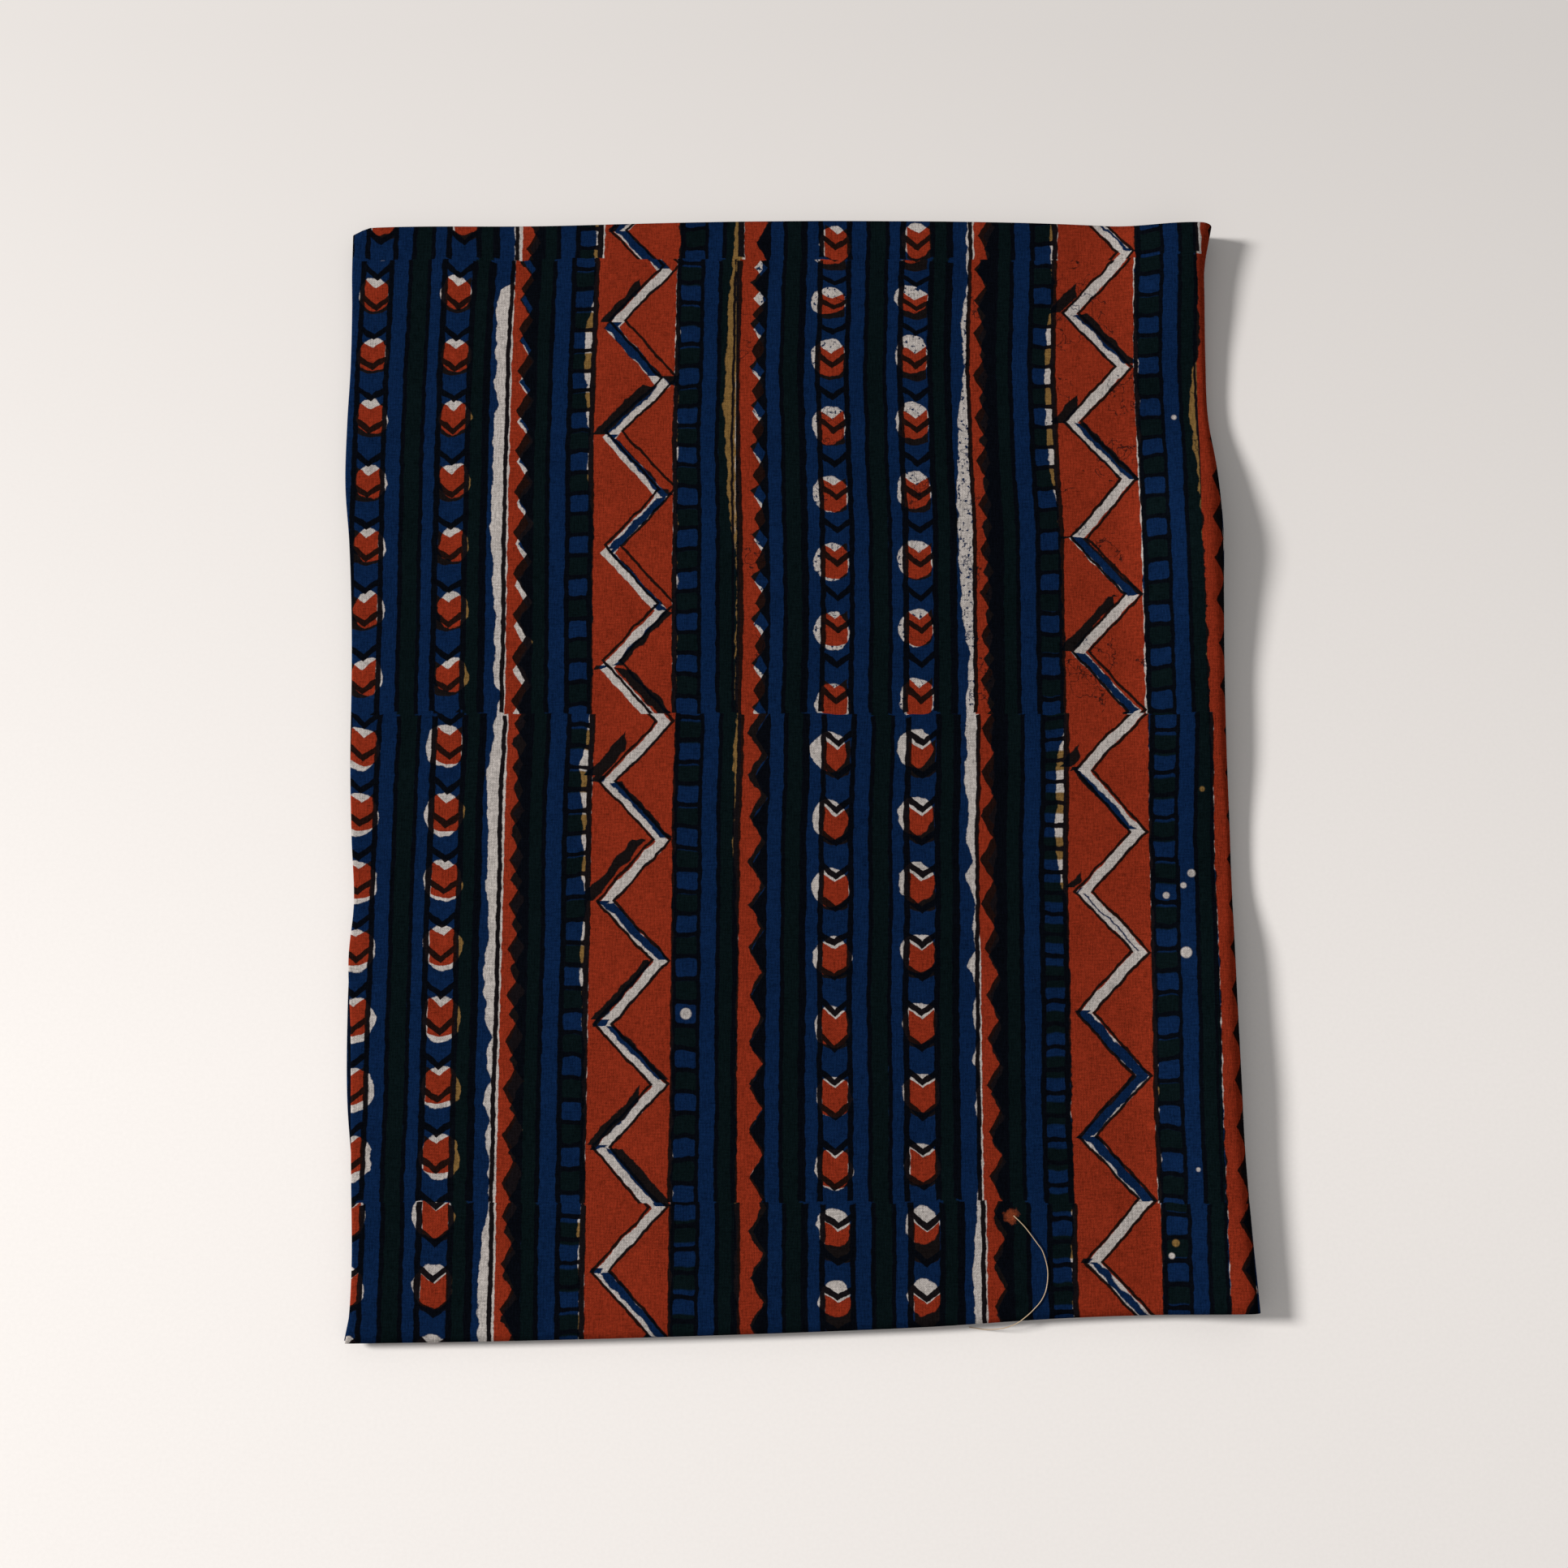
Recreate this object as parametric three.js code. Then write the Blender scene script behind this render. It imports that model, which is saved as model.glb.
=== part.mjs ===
// A length of block-printed cotton, folded in four and lying flat.
//
// Millimetres, +Z up. The underside rests on Z = 0, X runs across the folds and Y along them, and the
// origin is under the middle of the folded cloth. The cloth is one sheet that goes back and forth:
// from the end tucked inside, left to the upper left fold, right over the top to the raised right
// fold, left underneath to the lower left fold, and right along the ground to its other end.
import * as THREE from "three";

// ---- Driving dimensions (mm) ----
const SHEET = 1; // thickness of the cloth with the air in its weave
const LAYER_GAP = 0.4; // air between two layers that lie on each other
const LAYER_PITCH = SHEET + LAYER_GAP;
const FULL_LENGTH = 354; // along the folds, from the near cut edge to the far one
const RISE_WIDTH = 34; // width over which the top layer climbs to the crest of the right fold
const INNER_END_INSET = 15; // from the right fold back to the end tucked inside
const LOWER_END_INSET = 4; // from the right fold back to the end underneath

// Facets of the folds, of the climb to the crest, and of each long run across the cloth.
const LEFT_FOLD_STEPS = 5;
const RIGHT_FOLD_STEPS = 8;
const RISE_STEPS = 5;
const RUN_STEPS = 4;
const SECTIONS_BETWEEN_ROWS = 1;

// Heights of the mid-line of each layer that lies flat, numbered up from the ground.
const GROUND_LAYER = SHEET / 2;
const UNDER_LAYER = GROUND_LAYER + LAYER_PITCH;
const INNER_LAYER = UNDER_LAYER + LAYER_PITCH;
const TOP_LAYER = INNER_LAYER + LAYER_PITCH;

// One row for each section across the cloth.
//   y      place along the folds
//   left   X of the upper left fold
//   peek   how far the lower left fold stands out past the upper one
//   right  X of the right fold
//   crest  height of the top of the cloth at the right fold
//   crown  how far the top layer lifts off the others half-way across
const SECTIONS = [
  { y: -177, left: -131.8, peek: 0.9, right: 141.9, crest: 9.2, crown: 0.2 },
  { y: -168, left: -131.6, peek: 0.4, right: 141.7, crest: 9.7, crown: 0.3 },
  { y: -152, left: -131.5, peek: -0.4, right: 140.6, crest: 10.0, crown: 0.5 },
  { y: -128, left: -132.5, peek: 0.2, right: 139.3, crest: 10.4, crown: 0.6 },
  { y: -106, left: -133.3, peek: 1.2, right: 138.9, crest: 10.9, crown: 0.4 },
  { y: -84, left: -134.0, peek: 1.2, right: 138.6, crest: 10.3, crown: 0.6 },
  { y: -62, left: -134.7, peek: 0.1, right: 138.4, crest: 9.4, crown: 0.9 },
  { y: -44, left: -134.1, peek: -1.0, right: 138.5, crest: 6.2, crown: 1.0 },
  { y: -24, left: -135.6, peek: -0.8, right: 138.5, crest: 6.1, crown: 0.8 },
  { y: 0, left: -136.8, peek: -0.6, right: 138.1, crest: 8.4, crown: 0.7 },
  { y: 28, left: -137.4, peek: -0.5, right: 138.3, crest: 9.0, crown: 0.9 },
  { y: 50, left: -138.2, peek: -0.6, right: 138.6, crest: 11.2, crown: 1.1 },
  { y: 72, left: -139.6, peek: -0.8, right: 138.9, crest: 13.4, crown: 1.0 },
  { y: 92, left: -141.5, peek: -1.0, right: 138.1, crest: 10.0, crown: 0.7 },
  { y: 112, left: -141.6, peek: -1.0, right: 136.0, crest: 6.4, crown: 0.5 },
  { y: 132, left: -141.1, peek: -0.7, right: 135.8, crest: 6.8, crown: 0.4 },
  { y: 152, left: -141.3, peek: -0.5, right: 135.9, crest: 9.0, crown: 0.4 },
  { y: 163, left: -141.7, peek: -0.6, right: 136.1, crest: 10.2, crown: 0.3 },
  { y: 177, left: -141.8, peek: -0.8, right: 138.7, crest: 11.0, crown: 0.2 },
];

// The two cut edges of the top layer: the Y of each, at places across the cloth.
const EDGES = [
  { x: -142, near: -178.3, far: 173.4 },
  { x: -136, near: -178.3, far: 176.0 },
  { x: -80, near: -177.4, far: 176.2 },
  { x: -18, near: -175.7, far: 177.2 },
  { x: 40, near: -173.5, far: 178.3 },
  { x: 84, near: -170.8, far: 178.0 },
  { x: 128, near: -169.4, far: 177.0 },
  { x: 142, near: -169.1, far: 176.6 },
];

// How far the cut edges lie inside the top layer's edges, at each turning point of the sheet.
const TUCK = { innerEnd: 3.2, upperFold: 0, rightFold: 0, lowerFold: 0.5, groundEnd: 2.4 };

// The value of one column of a table at a place between its rows, on a smooth curve through them.
function smoothColumn(rows, keyName, valueName, key) {
  const last = rows.length - 1;
  let i = 0;
  while (i < last - 1 && key > rows[i + 1][keyName]) i += 1;
  const slopeAt = (k) => {
    const before = rows[Math.max(k - 1, 0)];
    const after = rows[Math.min(k + 1, last)];
    return (after[valueName] - before[valueName]) / (after[keyName] - before[keyName]);
  };
  const [low, high] = [rows[i], rows[i + 1]];
  const span = high[keyName] - low[keyName];
  const t = THREE.MathUtils.clamp((key - low[keyName]) / span, 0, 1);
  const rise = high[valueName] - low[valueName];
  const ease = t * t * (3 - 2 * t);
  const lowPull = t * (1 - t) * (1 - t) * span * slopeAt(i);
  const highPull = t * t * (t - 1) * span * slopeAt(i + 1);
  return low[valueName] + rise * ease + lowPull + highPull;
}

// The rows of the section table, with the sections between them.
function allSections() {
  const columns = ["left", "peek", "right", "crest", "crown"];
  const parts = SECTIONS_BETWEEN_ROWS + 1;
  const sections = [];
  SECTIONS.slice(0, -1).forEach((row, i) => {
    for (let k = 0; k < parts; k += 1) {
      const y = THREE.MathUtils.lerp(row.y, SECTIONS[i + 1].y, k / parts);
      const section = { y };
      for (const name of columns) section[name] = smoothColumn(SECTIONS, "y", name, y);
      sections.push(section);
    }
  });
  sections.push(SECTIONS[SECTIONS.length - 1]);
  return sections;
}

// A straight run of the mid-line, without its two ends. Its face is +1 where the printed side is up.
function flatRun(from, to, steps, face) {
  const points = [];
  for (let k = 1; k < steps; k += 1) {
    const t = k / steps;
    const x = THREE.MathUtils.lerp(from.x, to.x, t);
    const z = THREE.MathUtils.lerp(from.z, to.z, t);
    points.push({ x, z, nx: 0, nz: face, tuck: THREE.MathUtils.lerp(from.tuck, to.tuck, t) });
  }
  return points;
}

// A fold: half an ellipse about a centre, from one angle to another. Its side is +1 where the
// printed side is outermost.
function foldArc(centre, radiusX, radiusZ, fromDegrees, toDegrees, steps, side, tuck) {
  const points = [];
  for (let k = 0; k <= steps; k += 1) {
    const angle = THREE.MathUtils.degToRad(THREE.MathUtils.lerp(fromDegrees, toDegrees, k / steps));
    const normal = new THREE.Vector2(Math.cos(angle) / radiusX, Math.sin(angle) / radiusZ).normalize();
    points.push({
      x: centre.x + radiusX * Math.cos(angle),
      z: centre.z + radiusZ * Math.sin(angle),
      nx: side * normal.x,
      nz: side * normal.y,
      tuck,
    });
  }
  return points;
}

// The top layer from the upper left fold to the crest: flat, with a low crown, and then the climb.
function topLayer(left, crest, section) {
  const points = [];
  const riseStart = section.right - RISE_WIDTH;
  const flatWidth = riseStart - left.x;
  const steps = RUN_STEPS + 1;
  for (let k = 1; k <= steps; k += 1) {
    const t = k / steps;
    const lift = section.crown * Math.sin(Math.PI * t) ** 2;
    points.push({ x: left.x + flatWidth * t, z: left.z + lift, nx: 0, nz: 1, tuck: 0 });
  }
  for (let k = 1; k < RISE_STEPS; k += 1) {
    const t = k / RISE_STEPS;
    const height = crest.z - left.z;
    const slope = (height * Math.PI * Math.sin(Math.PI * t)) / (2 * (crest.x - riseStart));
    const normal = new THREE.Vector2(-slope, 1).normalize();
    points.push({
      x: THREE.MathUtils.lerp(riseStart, crest.x, t),
      z: left.z + (height * (1 - Math.cos(Math.PI * t))) / 2,
      nx: normal.x,
      nz: normal.y,
      tuck: 0,
    });
  }
  return points;
}

// The mid-line of the sheet in one section, in order along the cloth.
function midline(section) {
  const foldRadius = LAYER_PITCH / 2;
  const outerLeft = section.left + SHEET / 2;
  const outerRight = section.right - SHEET / 2;
  const crestMid = section.crest - SHEET / 2;
  const rightRadius = (crestMid - UNDER_LAYER) / 2;

  const upperCentre = { x: outerLeft + foldRadius, z: INNER_LAYER + foldRadius };
  const lowerCentre = { x: outerLeft - section.peek + foldRadius, z: GROUND_LAYER + foldRadius };
  const rightCentre = { x: outerRight - rightRadius, z: UNDER_LAYER + rightRadius };

  const upperFold = foldArc(upperCentre, foldRadius, foldRadius, 270, 90, LEFT_FOLD_STEPS, 1,
    TUCK.upperFold);
  const rightFold = foldArc(rightCentre, rightRadius, rightRadius, 90, -90, RIGHT_FOLD_STEPS, 1,
    TUCK.rightFold);
  const lowerFold = foldArc(lowerCentre, foldRadius, foldRadius, 90, 270, LEFT_FOLD_STEPS, -1,
    TUCK.lowerFold);

  const innerEndX = section.right - INNER_END_INSET;
  const groundEndX = section.right - LOWER_END_INSET;
  const innerEnd = { x: innerEndX, z: INNER_LAYER, nx: 0, nz: -1, tuck: TUCK.innerEnd };
  const groundEnd = { x: groundEndX, z: GROUND_LAYER, nx: 0, nz: 1, tuck: TUCK.groundEnd };
  return [
    innerEnd,
    ...flatRun(innerEnd, upperFold[0], RUN_STEPS, -1),
    ...upperFold,
    ...topLayer(upperFold.at(-1), rightFold[0], section),
    ...rightFold,
    ...flatRun(rightFold.at(-1), lowerFold[0], RUN_STEPS, -1),
    ...lowerFold,
    ...flatRun(lowerFold.at(-1), groundEnd, RUN_STEPS, 1),
    groundEnd,
  ];
}

// The Y of a point of a section: the section spreads between the two cut edges at that X.
function placeAlong(section, x, tuck) {
  const near = smoothColumn(EDGES, "x", "near", x) + tuck;
  const far = smoothColumn(EDGES, "x", "far", x) - tuck;
  return THREE.MathUtils.lerp(near, far, section.y / FULL_LENGTH + 0.5);
}

// The closed outline of the sheet in one section: out along the printed face, back along the other.
function outline(section) {
  const line = midline(section);
  const faceOf = (side) =>
    line.map(({ x, z, nx, nz, tuck }) => {
      const faceX = x + (side * nx * SHEET) / 2;
      return [faceX, placeAlong(section, faceX, tuck), z + (side * nz * SHEET) / 2];
    });
  return [...faceOf(1), ...faceOf(-1).reverse()];
}

// One closed body through all the sections, with a strip of facets closing each cut edge.
function foldedSheet() {
  const rings = allSections().map(outline);
  const around = rings[0].length;
  const lastAcross = around / 2 - 1;
  const indices = [];
  for (let row = 0; row < rings.length - 1; row += 1) {
    for (let i = 0; i < around; i += 1) {
      const a = row * around + i;
      const b = row * around + ((i + 1) % around);
      indices.push(a, b, a + around, b, b + around, a + around);
    }
  }
  const farStart = (rings.length - 1) * around;
  for (let i = 0; i < lastAcross; i += 1) {
    const [face, nextFace] = [i, i + 1];
    const [back, nextBack] = [around - 1 - i, around - 2 - i];
    indices.push(face, back, nextBack, face, nextBack, nextFace);
    indices.push(farStart + face, farStart + nextBack, farStart + back);
    indices.push(farStart + face, farStart + nextFace, farStart + nextBack);
  }
  const geometry = new THREE.BufferGeometry();
  geometry.setAttribute("position", new THREE.Float32BufferAttribute(rings.flat(2), 3));
  geometry.setIndex(indices);
  geometry.computeVertexNormals();
  return geometry;
}

function printedCotton() {
  const material = new THREE.MeshStandardMaterial({ color: 0x14263f, roughness: 0.92, metalness: 0 });
  const cloth = new THREE.Mesh(foldedSheet(), material);
  cloth.name = "printed_cotton";
  return cloth;
}

const fabric = new THREE.Group();
fabric.add(printedCotton());

export default fabric;
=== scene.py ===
"""A length of block-printed cotton, folded in four and lying flat, with a plain pale floor and soft light.

The cloth is one thin sheet on the folds of its CAD solid. Its print is worked out by nodes the way the
cloth is made: wax or mud resist, indigo over the rest, yellow, madder red and black, each from its own
block, and each a little out of place. Lengths are in millimetres until they reach Blender, in metres.
"""

import math

import bpy
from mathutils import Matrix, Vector, noise


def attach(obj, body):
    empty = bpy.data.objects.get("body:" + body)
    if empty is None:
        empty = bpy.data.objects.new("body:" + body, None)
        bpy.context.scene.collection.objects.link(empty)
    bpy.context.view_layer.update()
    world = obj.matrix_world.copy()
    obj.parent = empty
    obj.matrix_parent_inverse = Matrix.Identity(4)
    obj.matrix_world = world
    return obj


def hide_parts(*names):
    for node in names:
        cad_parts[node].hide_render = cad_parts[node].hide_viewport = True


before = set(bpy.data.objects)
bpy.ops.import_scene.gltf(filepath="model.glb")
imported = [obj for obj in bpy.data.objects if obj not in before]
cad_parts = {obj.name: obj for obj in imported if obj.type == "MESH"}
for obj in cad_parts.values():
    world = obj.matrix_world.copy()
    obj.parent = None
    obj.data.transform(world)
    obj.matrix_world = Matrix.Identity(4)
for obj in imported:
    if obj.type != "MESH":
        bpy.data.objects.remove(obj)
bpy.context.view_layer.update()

MM = 0.001  # metres in a millimetre


def add_object(name, data):
    thing = bpy.data.objects.new(name, data)
    bpy.context.scene.collection.objects.link(thing)
    return thing


# ---------------------------------------------------------------- camera and loose thread

CAMERA_PLACE = (-0.9, -96.4, 597.5)  # mm
CAMERA_TILT = 8.46  # degrees from straight down, towards +Y
LENS = 43.88  # mm, on a sensor 36 mm wide


def make_camera():
    data = bpy.data.cameras.new("studio_camera")
    data.sensor_width = 36.0
    data.lens = LENS
    data.clip_start = 0.01
    data.clip_end = 20.0
    camera = add_object("studio_camera", data)
    camera.location = [v * MM for v in CAMERA_PLACE]
    camera.rotation_euler = (math.radians(CAMERA_TILT), 0.0, 0.0)
    bpy.context.scene.camera = camera


THREAD_DIAMETER = 0.3  # mm
# The thread's centre-line: it starts in a frayed spot on the top layer, slips over the near cut edge
# and ends on the floor against the cloth.
THREAD_ROUTE = [
    (68.7, -140.6, 5.15), (70.6, -142.4, 5.45), (72.5, -144.5, 5.6), (75.7, -148.8, 5.5),
    (77.4, -151.4, 5.35), (78.7, -156.6, 5.25), (78.3, -161.7, 5.2), (76.8, -165.3, 5.25),
    (74.4, -168.1, 5.2), (72.1, -170.2, 5.1), (69.1, -172.4, 4.5), (65.4, -173.9, 3.4),
    (62.2, -174.4, 2.3), (59.1, -174.5, 1.3), (55.2, -174.0, 0.45),
]
THREAD_SIDES = 8
THREAD_STEPS = 6  # of the tube between two points of the route


def smooth_route(route, steps):
    """Points on a smooth curve through the route's points, in metres."""
    points = [Vector(p) * MM for p in route]
    ends = [points[0] * 2 - points[1], *points, points[-1] * 2 - points[-2]]
    line = []
    for a, b, c, d in zip(ends, ends[1:], ends[2:], ends[3:]):
        for k in range(steps):
            t = k / steps
            pull = (c - a) * t + (2 * a - 5 * b + 4 * c - d) * t**2 + (3 * b - a - 3 * c + d) * t**3
            line.append(b + pull / 2)
    line.append(points[-1])
    return line


def make_thread():
    """The thread that hangs off the cloth, as a fine tube along its route."""
    line = smooth_route(THREAD_ROUTE, THREAD_STEPS)
    radius = THREAD_DIAMETER / 2 * MM
    vertices, faces = [], []
    across = Vector((0, 0, 1))
    for i, point in enumerate(line):
        ahead = (line[min(i + 1, len(line) - 1)] - line[max(i - 1, 0)]).normalized()
        across = (across - ahead * across.dot(ahead)).normalized()
        beside = ahead.cross(across)
        for k in range(THREAD_SIDES):
            angle = 2 * math.pi * k / THREAD_SIDES
            vertices.append(point + (across * math.cos(angle) + beside * math.sin(angle)) * radius)
    for i in range(len(line) - 1):
        for k in range(THREAD_SIDES):
            a, b = i * THREAD_SIDES + k, i * THREAD_SIDES + (k + 1) % THREAD_SIDES
            faces.append((a, b, b + THREAD_SIDES, a + THREAD_SIDES))
    last = (len(line) - 1) * THREAD_SIDES
    faces.append(tuple(reversed(range(THREAD_SIDES))))
    faces.append(tuple(range(last, last + THREAD_SIDES)))
    mesh = bpy.data.meshes.new("loose_thread")
    mesh.from_pydata(vertices, [], faces)
    mesh.polygons.foreach_set("use_smooth", [True] * len(faces))
    thread = add_object("loose_thread", mesh)
    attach(thread, "root")
    return thread


make_camera()
loose_thread = make_thread()

# ---------------------------------------------------------------- the folded sheet

SHEET = 0.38  # mm, the cotton itself
LAYER_PITCH = 1.4  # mm between the mid-lines of layers that lie on each other
FULL_LENGTH = 354.0  # mm along the folds
RISE_WIDTH = 34.0  # mm over which the top layer climbs to the crest of the right fold
INNER_END_INSET = 15.0
LOWER_END_INSET = 4.0

GROUND_LAYER = 0.5
UNDER_LAYER = GROUND_LAYER + LAYER_PITCH
INNER_LAYER = UNDER_LAYER + LAYER_PITCH

# y, X of the upper left fold, how far the lower left fold peeks out, X of the right fold, height of
# the cloth's top at the right fold, and how far the top layer lifts half-way across.
SECTION_COLUMNS = ("y", "left", "peek", "right", "crest", "crown")
SECTIONS = [
    (-177, -133.0, 0.9, 142.4, 9.2, 0.2),
    (-168, -132.0, 0.4, 141.7, 9.7, 0.3),
    (-152, -131.8, -0.4, 140.6, 10.0, 0.5),
    (-128, -132.8, 0.2, 139.3, 10.4, 0.6),
    (-106, -133.6, 1.7, 138.9, 10.9, 0.4),
    (-84, -134.4, 1.7, 138.6, 10.3, 0.6),
    (-62, -135.8, 0.1, 138.4, 9.4, 0.9),
    (-44, -134.7, -1.0, 138.5, 6.2, 1.0),
    (-24, -136.1, -0.8, 138.5, 6.1, 0.8),
    (0, -137.3, -0.6, 138.1, 8.4, 0.7),
    (28, -137.8, -0.5, 138.3, 9.0, 0.9),
    (50, -138.6, -0.6, 138.6, 11.2, 1.1),
    (72, -140.0, -0.8, 138.9, 13.4, 1.0),
    (92, -141.9, -1.0, 138.1, 10.0, 0.7),
    (112, -142.0, -1.0, 136.0, 6.4, 0.5),
    (132, -141.5, -0.7, 135.8, 6.8, 0.4),
    (152, -141.7, -0.5, 135.9, 9.0, 0.4),
    (163, -142.1, -0.6, 136.1, 10.2, 0.3),
    (177, -142.2, -0.8, 138.7, 11.0, 0.2),
]

# The cut edges of the top layer: the Y of each, at places across the cloth.
EDGE_COLUMNS = ("x", "near", "far")
EDGES = [
    (-142, -178.3, 173.4),
    (-136, -178.3, 176.0),
    (-80, -177.4, 176.5),
    (-18, -175.7, 178.0),
    (40, -173.5, 178.2),
    (84, -170.8, 177.5),
    (128, -169.4, 175.4),
    (142, -169.1, 175.0),
]

# How far the cut edges lie inside the top layer's, at each turning point of the sheet.
TUCK = {"inner_end": 3.2, "upper_fold": 0.0, "right_fold": 0.0, "lower_fold": 0.5, "ground_end": 2.4}

# Soft creases of the top layer: the X and Y of one end, of the other, the ridge's height and its
# half-width.
CREASES = [
    (-120, 128, -60, 158, 0.35, 7), (-28, 96, 18, 112, 0.3, 6), (82, 118, 128, 96, 0.4, 7),
    (-132, 30, -96, 18, 0.3, 6), (84, -6, 120, 22, 0.35, 6), (-60, -60, -18, -84, 0.3, 7),
    (86, -118, 132, -96, 0.4, 7), (-126, -122, -84, -138, 0.35, 6), (10, -150, 52, -138, 0.3, 6),
]

SECTION_WIDTH = 270.0  # mm, about the width of a layer, which sets the number of columns
ROW_STEP = 2.4  # mm between the mesh's rows along the folds
COLUMN_STEP = 2.3  # mm between its columns where the cloth shows
HIDDEN_STEP = 9.0  # mm between its columns under the top layer
LEFT_FOLD_STEPS = 8
RIGHT_FOLD_STEPS = 16


def lerp(a, b, t):
    return a + (b - a) * t


def smooth_value(rows, columns, name, key):
    """The value of one column at a place between its rows, on a smooth curve through them."""
    at = columns.index(name)
    last = len(rows) - 1
    i = 0
    while i < last - 1 and key > rows[i + 1][0]:
        i += 1

    def slope(k):
        before = rows[max(k - 1, 0)]
        after = rows[min(k + 1, last)]
        return (after[at] - before[at]) / (after[0] - before[0])

    low, high = rows[i], rows[i + 1]
    span = high[0] - low[0]
    t = min(max((key - low[0]) / span, 0.0), 1.0)
    ease = t * t * (3 - 2 * t)
    pull = t * (1 - t) ** 2 * span * slope(i) + t * t * (t - 1) * span * slope(i + 1)
    return low[at] + (high[at] - low[at]) * ease + pull


def fold_arc(centre, radius, from_degrees, to_degrees, steps, side, tuck):
    """A fold round a centre (x, z). Its side is +1 where the printed side is outermost."""
    points = []
    for k in range(steps + 1):
        angle = math.radians(lerp(from_degrees, to_degrees, k / steps))
        across, up = math.cos(angle), math.sin(angle)
        points.append(
            (centre[0] + radius * across, centre[1] + radius * up, side * across, side * up, tuck)
        )
    return points


def flat_run(start, end, steps, face):
    """A straight run between two points, without them. Its face is +1 where the printed side is up."""
    points = []
    for k in range(1, steps):
        x, z, tuck = (lerp(start[i], end[i], k / steps) for i in (0, 1, 4))
        points.append((x, z, 0.0, face, tuck))
    return points


def top_layer(left, crest, section):
    """The top layer from the upper left fold to the crest: flat with a low crown, then the climb."""
    points = []
    flat_steps = round((SECTION_WIDTH - RISE_WIDTH) / COLUMN_STEP)
    rise_steps = round(RISE_WIDTH / COLUMN_STEP)
    rise_start = section["right"] - RISE_WIDTH
    for k in range(1, flat_steps + 1):
        t = k / flat_steps
        lift = section["crown"] * math.sin(math.pi * t) ** 2
        points.append((lerp(left[0], rise_start, t), left[1] + lift, 0.0, 1.0, 0.0))
    height = crest[1] - left[1]
    run = crest[0] - rise_start
    for k in range(1, rise_steps):
        t = k / rise_steps
        slope = height * math.pi * math.sin(math.pi * t) / (2 * run)
        size = math.hypot(slope, 1.0)
        z = left[1] + height * (1 - math.cos(math.pi * t)) / 2
        points.append((lerp(rise_start, crest[0], t), z, -slope / size, 1 / size, 0.0))
    return points


def mid_line(section):
    """The sheet's mid-line in one section, in order along the cloth, and where its parts start.

    Each point is (x, z, normal x, normal z, tuck), with the normal on the printed side.
    """
    radius = LAYER_PITCH / 2
    left = section["left"] + SHEET / 2
    right = section["right"] - SHEET / 2
    crest = section["crest"] - SHEET / 2
    right_radius = (crest - UNDER_LAYER) / 2
    upper_centre = (left + radius, INNER_LAYER + radius)
    lower_centre = (left - section["peek"] + radius, GROUND_LAYER + radius)
    right_centre = (right - right_radius, UNDER_LAYER + right_radius)

    upper = fold_arc(upper_centre, radius, 270, 90, LEFT_FOLD_STEPS, 1, TUCK["upper_fold"])
    crest_fold = fold_arc(right_centre, right_radius, 90, -90, RIGHT_FOLD_STEPS, 1, TUCK["right_fold"])
    lower = fold_arc(lower_centre, radius, 90, 270, LEFT_FOLD_STEPS, -1, TUCK["lower_fold"])
    inner_end = (section["right"] - INNER_END_INSET, INNER_LAYER, 0.0, -1.0, TUCK["inner_end"])
    ground_end = (section["right"] - LOWER_END_INSET, GROUND_LAYER, 0.0, 1.0, TUCK["ground_end"])

    hidden_steps = round(SECTION_WIDTH / HIDDEN_STEP)
    parts = [
        [inner_end, *flat_run(inner_end, upper[0], hidden_steps, -1.0)],
        upper,
        top_layer(upper[-1], crest_fold[0], section),
        crest_fold,
        flat_run(crest_fold[-1], lower[0], hidden_steps, -1.0),
        lower,
        [*flat_run(lower[-1], ground_end, hidden_steps, 1.0), ground_end],
    ]
    starts = []
    points = []
    for part in parts:
        starts.append(len(points))
        points += part
    return points, starts


def arc_lengths(points, origin):
    """How far along the cloth each point is, in mm, counted so that the origin's is its own X."""
    along = [0.0]
    for before, after in zip(points, points[1:]):
        along.append(along[-1] + math.hypot(after[0] - before[0], after[1] - before[1]))
    shift = points[origin][0] - along[origin]
    return [s + shift for s in along]


def soft_wave(x, y, layer):
    """A slow wave of the cloth, from -1 to 1, different in each layer."""
    broad = noise.noise(Vector((x / 62, y / 48, 3.7 * layer)))
    fine = noise.noise(Vector((x / 21, y / 26, 9.1 * layer + 40)))
    return broad + 0.35 * fine


def crease_lift(x, y):
    """How far the creases lift or lower the top layer at a point."""
    lift = 0.0
    for x0, y0, x1, y1, height, width in CREASES:
        along = Vector((x1 - x0, y1 - y0))
        offset = Vector((x - x0, y - y0))
        t = offset.dot(along) / along.length_squared
        beside = abs(offset.cross(along)) / along.length
        if beside > 3 * width or not -0.2 < t < 1.2:
            continue
        fade = math.cos(min(abs(t - 0.5), 0.7) / 0.7 * math.pi / 2) ** 2
        lift += height * fade * math.exp(-((beside / width) ** 2))
    return lift


# The number and the height of each loose layer's wave.
LAYER_WAVES = {"top": (1, 0.22), "inner": (2, 0.30), "under": (3, 0.30)}


def layer_lift(part, t, x, y):
    """How far a point of the mid-line is moved up. t runs from 0 to 1 in its part of the line."""
    if part == "ground":
        return 0.22 * abs(soft_wave(x, y, 4)) - 0.25
    if part not in LAYER_WAVES:
        return 0.0
    layer, height = LAYER_WAVES[part]
    lift = height * soft_wave(x, y, layer) + (crease_lift(x, y) if part == "top" else 0.0)
    return lift * math.sin(math.pi * min(max(t, 0.0), 1.0)) ** 0.5


PARTS = ("inner", "upper_fold", "top", "right_fold", "under", "lower_fold", "ground")


def cut_edge_wave(x, layer):
    """How far the hidden layers' cut edges wander, in mm."""
    return 0.5 * noise.noise(Vector((x / 30, 17.0 * layer, 5.0)))


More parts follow.
